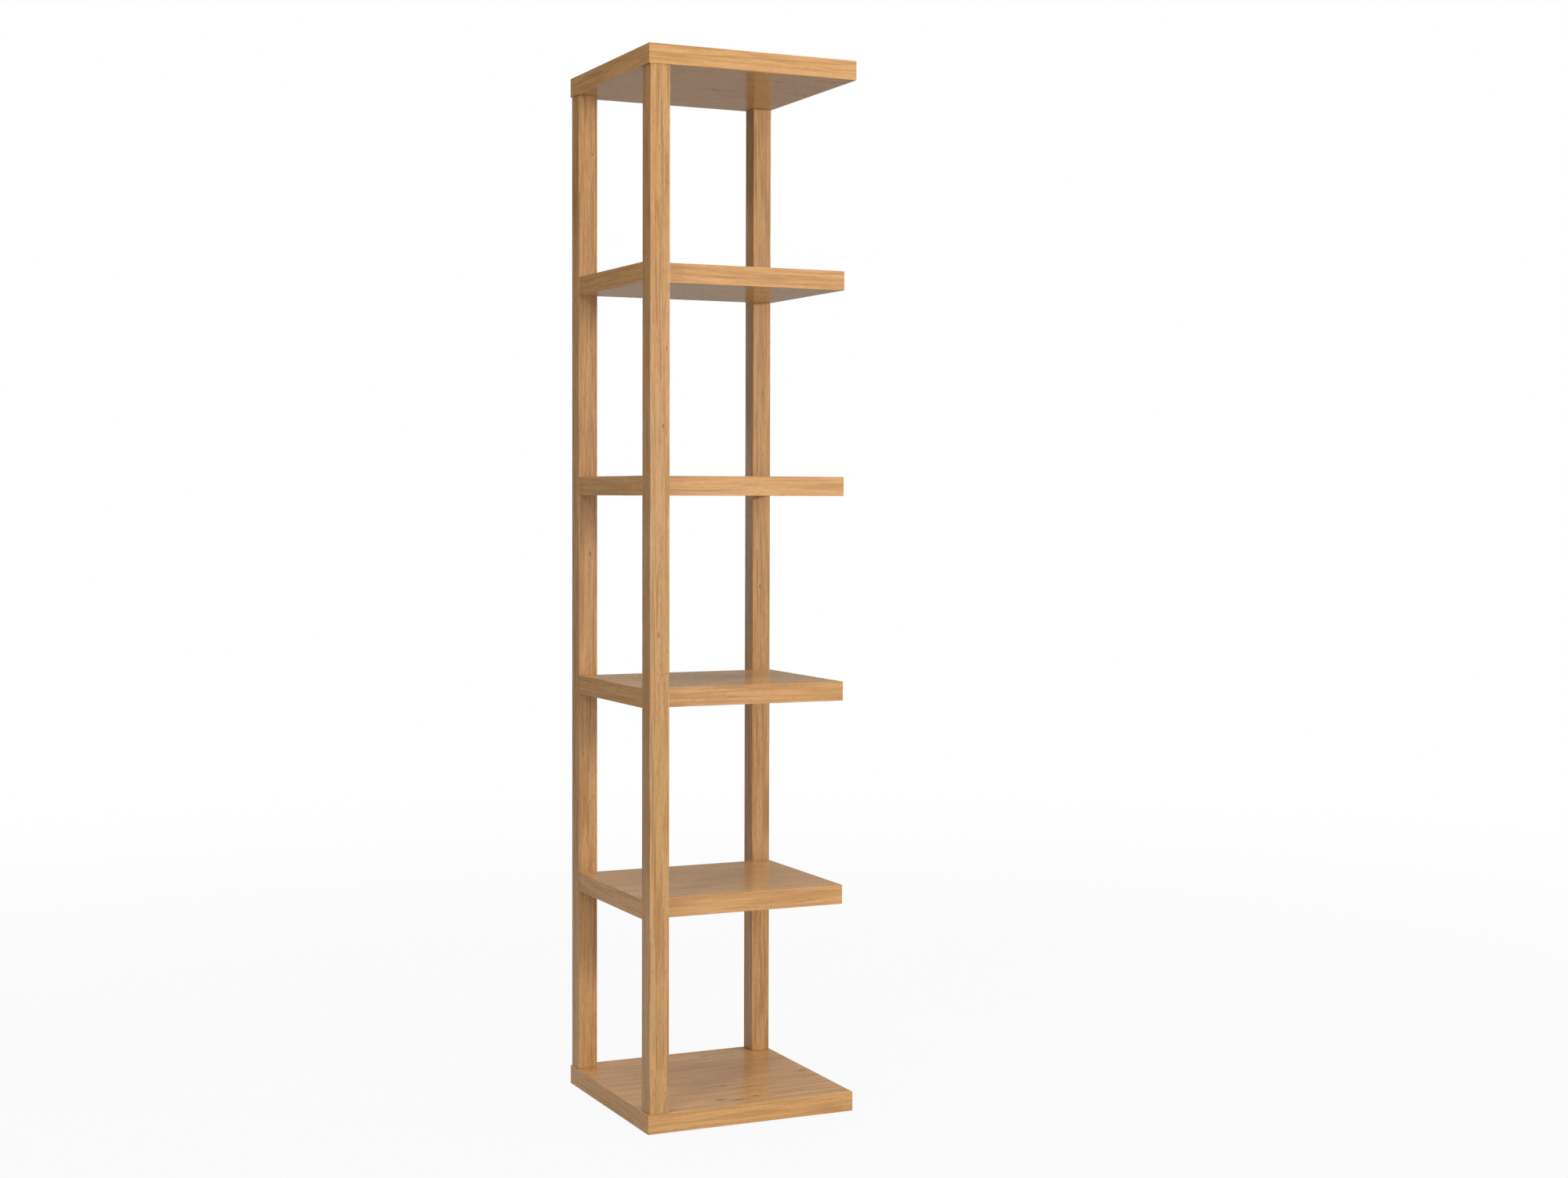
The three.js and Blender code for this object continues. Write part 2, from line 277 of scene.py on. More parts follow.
def oak_veneer(name, grain, knots=(), contrast=1.0, figure=1.0, tone=1.0, matt=0.0):
    """Lacquered oak with its grain along X, Y or Z.
    Each knot is a place and its half sizes across and along the grain, in metres."""
    oak = bpy.context.scene.oak
    light, dark, pore, knot = (
        tuple(value * tone for value in color) for color in (oak.light, oak.dark, oak.pore, oak.knot)
    )
    s = Shader(name)
    place = s.wire("ShaderNodeTexCoord", output="Object")
    leaf = s.wire("ShaderNodeAttribute", {"attribute_name": "leaf"}, output="Vector")
    order = {"X": (0, 1, 2), "Y": (1, 0, 2), "Z": (2, 0, 1)}[grain]
    here = [s.axes(place)[index] for index in order]
    shift = [s.axes(leaf)[index] for index in order]

    # Knots push the grain aside and darken.
    core = 0.0
    halo = 0.0
    push = [0.0, 0.0]
    for centre, across, along in knots:
        middle = [centre[index] for index in order]
        off = [here[index] - middle[index] for index in range(3)]
        radial = (off[1] / across) ** 2.0 + (off[2] / across) ** 2.0
        spread = radial + (off[0] / along) ** 2.0
        near = (spread * -0.22).math("EXPONENT")
        core = (spread * -1.5).math("EXPONENT") + core
        halo = near + halo
        push = [off[index + 1] * near * 0.75 + push[index] for index in range(2)]
    along = here[0] + shift[0]
    side = here[1] + shift[1] - push[0]
    deep = here[2] + shift[2] - push[1]

    def along_grain(lengthwise, crosswise, **kind):
        """Noise with so many cycles per metre along the grain and across it."""
        return s.noise(s.point(along * lengthwise, side * crosswise, deep * crosswise), **kind)

    # Wavy year rings, seen as long flames and lines.
    wave = along_grain(1.6, 7.0, detail=3.0, roughness=0.55)
    drift = along_grain(5.0, 26.0)
    rings = side * 62.0 + deep * 31.0 + wave * 9.0 * figure + drift * 1.5
    year = (rings * (2 * math.pi)).math("SINE") * 0.5 + 0.5
    late = year ** 2.2
    # Fibres from broad to fine, all much longer than wide.
    broad = along_grain(3.0, 55.0, detail=3.0, roughness=0.6)
    vein = along_grain(7.0, 230.0, detail=1.0)
    streak = along_grain(13.0, 420.0, detail=3.0, roughness=0.65)
    fibre = along_grain(45.0, 1500.0)
    # Open pores: short dark dashes, most of them in the early wood.
    dash = along_grain(70.0, 1150.0, detail=1.0)
    pores = s.between(dash + (1 - late) * 0.06, 0.60, 0.70)
    cloud = along_grain(2.2, 9.0)

    grain_tone = (
        s.between(broad, 0.34, 0.68) * 0.28
        + s.between(vein, 0.42, 0.62) * 0.62
        + s.between(streak, 0.36, 0.66) * 0.52
        + late * 0.24
        + fibre * 0.16
    )
    usual_tone, usual_depth = 0.86, 0.42
    depth = (grain_tone - usual_tone) * contrast + usual_depth + (cloud - 0.5) * 0.5
    color = s.blend(depth.math("MINIMUM", 1.0).math("MAXIMUM", 0.0), light, dark)
    color = s.blend(pores * 0.42 * contrast, color, pore)
    if knots:
        color = s.blend(s.between(halo, 0.25, 1.6) * 0.45, color, dark)
        color = s.blend(s.between(core, 0.2, 1.0) * 0.78, color, knot)
    relief = streak * 0.35 + fibre * 0.25 - pores * 0.9
    return s.finish(
        Base_Color=color,
        Roughness=pores * 0.12 + fibre * 0.05 + (oak.roughness + matt - 0.025),
        Normal=s.bump(relief, 0.03 * MM, 0.5),
    )


def plain_metal(name, color, roughness, marks):
    """Plated or cast metal with a little mottling."""
    s = Shader(name)
    place = s.wire("ShaderNodeTexCoord", output="Object")
    x, y, z = s.axes(place)
    mottle = s.noise(s.point(x * 900.0, y * 900.0, z * 900.0), detail=3.0)
    patch = s.noise(s.point(x * 180.0, y * 180.0, z * 180.0), detail=2.0)
    darker = tuple(value * 0.72 for value in color)
    return s.finish(
        Base_Color=s.blend(patch, tuple(color), darker),
        Metallic=1.0,
        Roughness=mottle * 0.18 + patch * 0.10 + (roughness - 0.12),
        Normal=s.bump(mottle, marks, 0.4),
    )


def moulded_plastic(name, color, roughness):
    """Matt moulded plastic with a fine spark-eroded grain."""
    s = Shader(name)
    place = s.wire("ShaderNodeTexCoord", output="Object")
    x, y, z = s.axes(place)
    grain = s.noise(s.point(x * 2600.0, y * 2600.0, z * 2600.0), detail=1.0)
    patch = s.noise(s.point(x * 120.0, y * 120.0, z * 120.0), detail=2.0)
    darker = tuple(value * 0.85 for value in color)
    return s.finish(
        Base_Color=s.blend(patch, tuple(color), darker),
        Roughness=grain * 0.12 + (roughness - 0.05),
        Normal=s.bump(grain, 0.03 * MM, 0.5),
    )


def raw_beech(name, color):
    """Unfinished turned beech with short flecks along Y."""
    s = Shader(name)
    place = s.wire("ShaderNodeTexCoord", output="Object")
    x, y, z = s.axes(place)
    fibre = s.noise(s.point(x * 700.0, y * 40.0, z * 700.0), detail=3.0)
    fleck = s.between(s.noise(s.point(x * 900.0, y * 250.0, z * 900.0)), 0.58, 0.68)
    darker = tuple(value * 0.7 for value in color)
    base = s.blend(fibre, tuple(color), darker)
    return s.finish(
        Base_Color=s.blend(fleck * 0.5, base, tuple(value * 0.5 for value in color)),
        Roughness=fibre * 0.1 + 0.66,
        Normal=s.bump(fibre, 0.05 * MM, 0.5),
    )


# ---------------------------------------------------------------- mesh helpers


def middle(node):
    low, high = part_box(node)
    return (low + high) / 2


def size(node):
    low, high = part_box(node)
    return high - low


def add_box(mesh, low, high):
    """A box between two corners. Gives its corner points."""
    made = bmesh.ops.create_cube(mesh, size=1.0)["verts"]
    low, high = Vector(low), Vector(high)
    bmesh.ops.scale(mesh, vec=high - low, verts=made)
    bmesh.ops.translate(mesh, vec=(low + high) / 2, verts=made)
    return made


def add_rod(mesh, start, end, radius, sides=32):
    """A closed cylinder between two points that lie along one axis."""
    start, end = Vector(start), Vector(end)
    reach = end - start
    turn = reach.to_track_quat("Z", "Y").to_matrix().to_4x4()
    bmesh.ops.create_cone(
        mesh, cap_ends=True, segments=sides, radius1=radius, radius2=radius, depth=reach.length,
        matrix=Matrix.Translation((start + end) / 2) @ turn,
    )


def round_edges(mesh, edges, radius, segments=3):
    bmesh.ops.bevel(
        mesh, geom=edges, offset=radius, offset_type="OFFSET", affect="EDGES", segments=segments,
        profile=0.5, material=-1, clamp_overlap=True,
    )


def turned(profile, sides=48):
    """A closed solid turned about Z from points (radius, height) that start and end on the axis."""
    mesh = bmesh.new()
    points = [mesh.verts.new((radius, 0.0, height)) for radius, height in profile]
    edges = [mesh.edges.new(pair) for pair in zip(points, points[1:])]
    bmesh.ops.spin(
        mesh, geom=points + edges, cent=(0, 0, 0), axis=(0, 0, 1), dvec=(0, 0, 0),
        angle=2 * math.pi, steps=sides, use_merge=True, use_duplicate=False,
    )
    bmesh.ops.remove_doubles(mesh, verts=mesh.verts, dist=0.001 * MM)
    bmesh.ops.recalc_face_normals(mesh, faces=mesh.faces)
    return mesh


def rounded(points, radius, steps=4):
    """A profile whose corners, apart from its ends, are arcs of about the given radius."""
    made = [points[0]]
    for before, corner, after in zip(points, points[1:], points[2:]):
        corner = Vector(corner)
        back, ahead = Vector(before) - corner, Vector(after) - corner
        trim = min(radius, back.length * 0.45, ahead.length * 0.45)
        start, end = corner + back.normalized() * trim, corner + ahead.normalized() * trim
        for step in range(steps + 1):
            t = step / steps
            made.append(tuple(start * (1 - t) ** 2 + corner * 2 * t * (1 - t) + end * t**2))
    made.append(points[-1])
    return made


def piece(name, mesh, material, body, slot, *nodes, smooth=False):
    """Makes a finished piece from a bmesh: it rides on a body and stands for the named nodes."""
    data = bpy.data.meshes.new(name)
    mesh.to_mesh(data)
    mesh.free()
    if smooth:
        data.shade_smooth()
        data.set_sharp_from_angle(angle=math.radians(38))
    made = bpy.data.objects.new(name, data)
    bpy.context.scene.collection.objects.link(made)
    data.materials.append(material)
    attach(made, body)
    if nodes:
        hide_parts(*nodes)
    return made


def cut(mesh, cutter):
    """Takes the closed shapes of one bmesh out of another, and gives the result."""
    holders = []
    for part in (mesh, cutter):
        data = bpy.data.meshes.new("cutting")
        part.to_mesh(data)
        part.free()
        holder = bpy.data.objects.new("cutting", data)
        bpy.context.scene.collection.objects.link(holder)
        holders.append(holder)
    modifier = holders[0].modifiers.new("cut", "BOOLEAN")
    modifier.operation = "DIFFERENCE"
    modifier.solver = "EXACT"
    modifier.use_self = True
    modifier.object = holders[1]
    evaluated = holders[0].evaluated_get(bpy.context.evaluated_depsgraph_get())
    result = bmesh.new()
    result.from_mesh(evaluated.to_mesh())
    evaluated.to_mesh_clear()
    for holder in holders:
        data = holder.data
        bpy.data.objects.remove(holder)
        bpy.data.meshes.remove(data)
    return result


def set_leaf(made, number, spread=0.61):
    """Gives a piece its own stretch of veneer, so that no two look alike."""
    shift = (number * spread, number * 0.37 * spread, number * 0.71 * spread)
    leaf = made.data.attributes.new("leaf", "FLOAT_VECTOR", "POINT")
    leaf.data.foreach_set("vector", list(shift) * len(made.data.vertices))


def bores(mesh, nodes, gap):
    """Adds a bore along Y for each stud or dowel named."""
    for node in nodes:
        low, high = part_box(node)
        centre = (low + high) / 2
        radius = (high.x - low.x) / 2 + gap
        start = (centre.x, low.y - gap, centre.z)
        end = (centre.x, high.y + gap, centre.z)
        add_rod(mesh, start, end, radius, sides=24)


# ---------------------------------------------------------------- boards


def board_cutter(board, gap):
    """What is cut out of a board: pockets, bores and screw holes."""
    cutter = bmesh.new()
    low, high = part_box(board)
    outside = 2 * MM
    if board in SHELVES:
        level = board.split("_")[1]
        for post in POSTS:
            cam = f"cam_{level}_{post}"
            centre, top = middle(cam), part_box(cam)[1].z
            radius = size(cam).x / 2 + gap
            start = (centre.x, centre.y, low.z - outside)
            add_rod(cutter, start, (centre.x, centre.y, top + gap), radius, sides=48)
        kinds = ("stud", "dowel")
        bores(cutter, [f"{kind}_{level}_{post}" for kind in kinds for post in POSTS], gap)
        return cutter
    below = board == "base_board"
    for post in POSTS:
        screw = ("base_screw_" if below else "top_screw_") + post
        centre, screw_box = middle(screw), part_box(screw)
        face = low.z - outside if below else high.z + outside
        head = screw_box[0].z if below else screw_box[1].z
        inwards = 1 if below else -1
        wide = size(screw).x / 2 + gap
        rim = head + inwards * 1.0 * MM
        far = high.z + outside if below else low.z - outside
        add_rod(cutter, (centre.x, centre.y, face), (centre.x, centre.y, rim), wide, sides=48)
        add_rod(cutter, (centre.x, centre.y, rim), (centre.x, centre.y, far), SHANK_BORE)
        if not below:
            cap = f"screw_cap_{post}"
            seat = size(cap).x / 2 + gap
            depth = 1.7 * MM
            start = (centre.x, centre.y, face)
            add_rod(cutter, start, (centre.x, centre.y, high.z - depth), seat, sides=64)
    return cutter


def band_boxes(board, thickness):
    """The four bands round a board, as side, lowest corner and highest corner. Front and back run through."""
    low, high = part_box(board)
    x0, y0, z0 = low
    x1, y1, z1 = high
    t = thickness
    return [
        ("front", (x0, y0, z0), (x1, y0 + t, z1)),
        ("back", (x0, y1 - t, z0), (x1, y1, z1)),
        ("left", (x0, y0 + t, z0), (x0 + t, y1 - t, z1)),
        ("right", (x1 - t, y0 + t, z0), (x1, y1 - t, z1)),
    ]


class SHELVING_OT_boards(bpy.types.Operator):
    """Base, top and shelves: each a panel with four edge bands"""

    bl_idname = "shelving.boards"
    bl_label = "Boards and edge bands"
    bl_options = {"REGISTER", "UNDO"}

    def execute(self, context):
        oak = context.scene.oak
        face = oak_veneer("oak face veneer", "X", board_knots())
        along_x = oak_veneer("oak band front and back", "X", contrast=0.8, figure=0.5, matt=0.10)
        along_y = oak_veneer("oak band sides", "Y", contrast=0.8, figure=0.5, matt=0.10)
        for number, board in enumerate(BOARDS):
            self.make_panel(board, number, face, oak)
            for side, low, high in band_boxes(board, oak.band_thickness):
                material = along_x if side in ("front", "back") else along_y
                self.make_band(board, side, low, high, material, number, oak)
        return {"FINISHED"}

    def make_panel(self, board, number, material, oak):
        low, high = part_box(board)
        inset = oak.band_thickness + oak.seam
        margin = Vector((inset, inset, 0))
        mesh = bmesh.new()
        add_box(mesh, low + margin, high - margin)
        mesh = cut(mesh, board_cutter(board, oak.bore_gap))
        made = piece(f"oak_panel_{board}", mesh, material, MAIN_BODY, "oak_board", board)
        set_leaf(made, number)

    def make_band(self, board, side, low, high, material, number, oak):
        mesh = bmesh.new()
        add_box(mesh, low, high)
        axis = 1 if side in ("front", "back") else 0
        outer = (low if side in ("front", "left") else high)[axis]
        on_face = {v for v in mesh.verts if abs(v.co[axis] - outer) < oak.seam}
        edges = [edge for edge in mesh.edges if set(edge.verts) <= on_face]
        if axis == 0:  # the ends of side bands butt against the others
            edges = [edge for edge in edges if abs(edge.verts[0].co.z - edge.verts[1].co.z) < oak.seam]
        round_edges(mesh, edges, oak.band_arris)
        if board in SHELVES and axis == 1:
            level = board.split("_")[1]
            behind = 1 if side == "back" else -1
            posts = [post for post, where in POSTS.items() if where == behind]
            cutter = bmesh.new()
            kinds = ("stud", "dowel")
            bores(cutter, [f"{kind}_{level}_{post}" for kind in kinds for post in posts], oak.bore_gap)
            mesh = cut(mesh, cutter)
        name = f"oak_band_{board}_{side}"
        made = piece(name, mesh, material, MAIN_BODY, "oak_board", board)
        set_leaf(made, 20 + number * 4 + ("front", "back", "left", "right").index(side), 0.43)


def board_knots():
    """Small knots in the face veneer: most on the base, in front of its middle, and one under the top."""
    floor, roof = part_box("base_board")[1].z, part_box("top_board")[0].z
    chosen = [
        (0.000, -0.064, floor, 5.0, 6.0),
        (-0.040, -0.146, floor, 8.0, 13.0),
        (-0.012, -0.160, floor, 5.0, 16.0),
        (0.026, -0.146, floor, 6.0, 12.0),
        (0.172, -0.020, floor, 6.5, 13.0),
        (0.055, 0.150, floor, 6.0, 10.0),
        (0.013, 0.003, roof, 7.0, 16.0),
        (-0.110, -0.060, roof, 4.0, 9.0),
    ]
    return [
        (Vector((x, y, height)), across * MM, along * MM) for x, y, height, across, along in chosen
    ]


# ---------------------------------------------------------------- posts


def post_knots():
    """Small knots in the posts: the post, its face, how far across that face and how high."""
    chosen = [
        ("front_left", "front", 0.84, 1.303, 1.6, 5.0),
        ("front_left", "front", 0.64, 1.176, 2.0, 6.0),
        ("front_left", "front", 0.84, 1.166, 1.4, 4.0),
        ("front_left", "front", 0.44, 0.832, 2.2, 7.0),
        ("front_left", "front", 0.38, 0.768, 1.4, 2.6),
        ("front_left", "front", 0.60, 0.766, 1.4, 2.6),
        ("front_left", "front", 0.82, 0.768, 1.5, 2.6),
        ("front_left", "left", 0.55, 0.918, 2.2, 5.0),
        ("back_left", "front", 0.74, 1.664, 1.8, 4.0),
        ("back_left", "front", 0.62, 0.958, 2.4, 6.0),
        ("back_left", "front", 0.30, 0.520, 1.6, 3.0),
        ("back_left", "front", 0.62, 0.516, 1.6, 3.0),
        ("back_right", "front", 0.42, 0.895, 2.4, 6.0),
        ("back_right", "front", 0.55, 1.248, 1.8, 5.0),
        ("back_right", "right", 0.50, 0.610, 2.4, 6.0),
        ("back_left", "back", 0.45, 1.120, 2.4, 6.0),
    ]
    knots = []
    for post, face, over, height, across, along in chosen:
        low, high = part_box(f"post_{post}")
        spread = low.lerp(high, over)
        place = {
            "front": (spread.x, low.y), "back": (spread.x, high.y),
            "left": (low.x, spread.y), "right": (high.x, spread.y),
        }[face]
        knots.append((Vector((*place, height)), across * MM, along * MM))
    return knots


class SHELVING_OT_posts(bpy.types.Operator):
    """Three square posts with rounded arrises"""

    bl_idname = "shelving.posts"
    bl_label = "Posts"
    bl_options = {"REGISTER", "UNDO"}

    def execute(self, context):
        oak = context.scene.oak
        material = oak_veneer("oak post", "Z", post_knots(), contrast=1.15, figure=1.2, tone=0.88, matt=0.10)
        for number, (post, behind) in enumerate(POSTS.items()):
            node = f"post_{post}"
            mesh = bmesh.new()
            add_box(mesh, *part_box(node))
            upright = [
                edge for edge in mesh.edges
                if abs(edge.verts[0].co.z - edge.verts[1].co.z) > size(node).z / 2
            ]
            round_edges(mesh, upright, oak.post_arris, segments=4)
            ends = [
                edge for edge in mesh.edges
                if abs(edge.verts[0].co.z - edge.verts[1].co.z) < oak.seam
            ]
            round_edges(mesh, ends, oak.end_arris, segments=2)
            cutter = bmesh.new()
            for level in LEVELS:
                self.add_bores(cutter, level, post, behind, oak.bore_gap)
            for screw in (f"base_screw_{post}", f"top_screw_{post}"):
                low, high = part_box(screw)
                centre = (low + high) / 2
                start = (centre.x, centre.y, low.z - oak.bore_gap)
                end = (centre.x, centre.y, high.z + oak.bore_gap)
                add_rod(cutter, start, end, SHANK_BORE, sides=24)
            mesh = cut(mesh, cutter)
            made = piece(f"oak_{node}", mesh, material, MAIN_BODY, "oak_post", node)
            set_leaf(made, number + 1, 0.83)
        return {"FINISHED"}

    def add_bores(self, cutter, level, post, behind, gap):
        """One thread bore and one dowel bore, from the face that looks at the shelves."""
        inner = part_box(f"post_{post}")[0 if behind > 0 else 1].y
        for kind, radius in (("stud", STUD_BORE), ("dowel", DOWEL_BORE)):
            node = f"{kind}_{level}_{post}"
            low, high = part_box(node)
            centre = (low + high) / 2
            deep = high.y + gap if behind > 0 else low.y - gap
            start = (centre.x, inner - behind * 1.0 * MM, centre.z)
            add_rod(cutter, start, (centre.x, deep, centre.z), radius + gap, sides=24)


# ---------------------------------------------------------------- fixings


class SHELVING_OT_cams(bpy.types.Operator):
    """Cast cams in the undersides of the shelves, each on its own body"""

    bl_idname = "shelving.cams"
    bl_label = "Cams"
    bl_options = {"REGISTER", "UNDO"}

    def execute(self, context):
        material = plain_metal("cast zinc", context.scene.fixings.zinc, 0.46, 0.05 * MM)
        for level in LEVELS:
            for post, behind in POSTS.items():
                node = f"cam_{level}_{post}"
                mesh = self.cam(node, f"stud_{level}_{post}", behind)
                piece(f"zinc_{node}", mesh, material, node, "cast_zinc", node, smooth=True)
        return {"FINISHED"}

    def cam(self, node, stud, behind):
        """A drum with a hollow, a slot for the neck of the stud, an entry hole and a cross slot."""
        low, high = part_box(node)
        centre = (low + high) / 2
        radius, tall = size(node).x / 2, size(node).z
        axis = middle(stud).z - low.z
        drum = [(0, 0), (radius, 0), (radius, tall), (0, tall)]
        mesh = turned(rounded(drum, 0.5 * MM), sides=64)
        cutter = bmesh.new()
        hollow, floor = 6.1 * MM, axis - 4.4 * MM
        entry, neck = 3.7 * MM, 2.15 * MM  # radius of the entry hole, half width of the neck's slot
        inner, past = 3.0 * MM, 1.0 * MM
        off = -0.5 * MM
        add_rod(cutter, (0, off, floor), (0, off, tall + past), hollow, sides=48)
        add_rod(cutter, (0, -inner, axis), (0, -radius - past, axis), entry, sides=32)
        self.add_slot(cutter, axis, neck, inner, radius + past)
        arm, narrow, deep = 4.2 * MM, 0.85 * MM, 3.2 * MM  # the cross slot for the screwdriver
        for across, wide in ((arm, narrow), (narrow, arm)):
            add_box(cutter, (-across, -wide, -past), (across, wide, deep))
        mesh = cut(mesh, cutter)
        turn = Matrix.Rotation(0 if behind > 0 else math.pi, 4, "Z")
        place = Matrix.Translation((centre.x, centre.y, low.z))
        bmesh.ops.transform(mesh, matrix=place @ turn, verts=mesh.verts)
        return mesh

    def add_slot(self, cutter, axis, half, inner, outer):
        """The slot that lets the neck past while the cam turns from locked to open."""
        corners = [(inner, -half), (outer, -half), (outer, half), (inner, half)]
        verts = [cutter.verts.new((across, 0, axis + up)) for across, up in corners]
        section = cutter.faces.new(verts)
        start, sweep, steps = math.radians(60), math.radians(210), 28
        bmesh.ops.rotate(
            cutter, cent=(0, 0, 0), matrix=Matrix.Rotation(start, 3, "Z"), verts=verts
        )
        known = set(cutter.verts) - set(verts)
        bmesh.ops.spin(
            cutter, geom=[section], cent=(0, 0, 0), axis=(0, 0, 1), dvec=(0, 0, 0),
            angle=sweep, steps=steps, use_merge=False, use_duplicate=False,
        )
        swept = set(cutter.verts) - known
        faces = [face for face in cutter.faces if set(face.verts) <= swept]
        bmesh.ops.recalc_face_normals(cutter, faces=faces)


class SHELVING_OT_screws(bpy.types.Operator):
    """Connector screws in base and top, and the caps that cover the upper ones"""

    bl_idname = "shelving.screws"
    bl_label = "Screws and caps"
    bl_options = {"REGISTER", "UNDO"}

    def execute(self, context):
        fixings = context.scene.fixings
        steel = plain_metal("zinc plating", fixings.plating, 0.34, 0.02 * MM)
        plastic = moulded_plastic("oak coloured plastic", fixings.cap, 0.5)
        for post in POSTS:
            for node in (f"base_screw_{post}", f"top_screw_{post}"):
                mesh = self.screw(node, upwards=node.startswith("base"))
                piece(f"plated_{node}", mesh, steel, MAIN_BODY, "plated_steel", node, smooth=True)
            node = f"screw_cap_{post}"
            piece(
                f"moulded_{node}", self.cap(node), plastic, MAIN_BODY, "oak_plastic", node, smooth=True
            )
        return {"FINISHED"}

    def screw(self, node, upwards):
        low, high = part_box(node)
        head, long = size(node).x / 2, size(node).z
        shank, root, pitch = 3.3 * MM, 2.5 * MM, 3.0 * MM
        profile = [(0, 0), (head, 0), (head, 0.6 * MM), (shank, 4.0 * MM), (shank, 12.0 * MM)]
        height = 12.0 * MM
        while height < long - 6.0 * MM:  # ridges of the coarse thread
            profile += [(root, height + 0.5 * MM), (root, height + 1.6 * MM), (shank, height + 2.3 * MM)]
            height += pitch
        profile += [(root, height + 0.5 * MM), (root, long - 3.0 * MM), (1.2 * MM, long), (0, long)]
        mesh = turned(profile, sides=32)
        cutter = bmesh.new()
        hexagon = 2.0 * MM / math.cos(math.pi / 6)
        add_rod(cutter, (0, 0, -1.0 * MM), (0, 0, 3.0 * MM), hexagon, sides=6)
        mesh = cut(mesh, cutter)
        turn = Matrix.Rotation(0 if upwards else math.pi, 4, "X")
        start = Vector(((low.x + high.x) / 2, (low.y + high.y) / 2, low.z if upwards else high.z))
        bmesh.ops.transform(mesh, matrix=Matrix.Translation(start) @ turn, verts=mesh.verts)
        return mesh

    def cap(self, node):
        low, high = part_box(node)
        centre, radius = (low + high) / 2, size(node).x / 2
        plate, stem = high.z - 1.6 * MM, 1.5 * MM
        outline = [(0, low.z), (stem, low.z), (stem, plate), (radius, plate), (radius, high.z), (0, high.z)]
        mesh = turned(rounded(outline, 0.45 * MM), sides=64)
        bmesh.ops.translate(mesh, vec=(centre.x, centre.y, 0), verts=mesh.verts)
        return mesh


class SHELVING_OT_glides(bpy.types.Operator):
    """Round plastic glides under the base"""

    bl_idname = "shelving.glides"
    bl_label = "Glides"
    bl_options = {"REGISTER", "UNDO"}

    def execute(self, context):
        material = moulded_plastic("brown plastic", context.scene.fixings.glide, 0.55)
        for node in sorted(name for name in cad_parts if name.startswith("glide_")):
            low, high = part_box(node)
            centre, radius = (low + high) / 2, size(node).x / 2
            pad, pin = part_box("base_board")[0].z - 0.05 * MM, 1.4 * MM
            dish = radius - 6.0 * MM
            outline = [
                (0, low.z + 0.5 * MM), (dish, low.z + 0.4 * MM), (dish + 1.2 * MM, low.z),
                (radius - 1.4 * MM, low.z), (radius, low.z + 1.6 * MM), (radius, pad), (pin, pad),
                (pin, high.z - 1.5 * MM), (0, high.z),
            ]
            mesh = turned(rounded(outline, 0.5 * MM), sides=64)
            bmesh.ops.translate(mesh, vec=(centre.x, centre.y, 0), verts=mesh.verts)
            piece(f"moulded_{node}", mesh, material, MAIN_BODY, "brown_plastic", node, smooth=True)
        return {"FINISHED"}


class SHELVING_OT_hidden(bpy.types.Operator):
    """Finishes for the studs and dowels inside the joints"""

    bl_idname = "shelving.hidden"
    bl_label = "Studs and dowels"
    bl_options = {"REGISTER", "UNDO"}

    def execute(self, context):
        fixings = context.scene.fixings
        finishes = {
            "stud": (plain_metal("bright plating", fixings.plating, 0.32, 0.02 * MM), "plated_steel"),
            "dowel": (raw_beech("raw beech", fixings.beech), "beech"),
        }
        for node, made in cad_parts.items():
            kind = node.split("_")[0]
            if kind in finishes:
                material, slot = finishes[kind]
                made.material_slots[0].material = material
        return {"FINISHED"}


# ---------------------------------------------------------------- stage


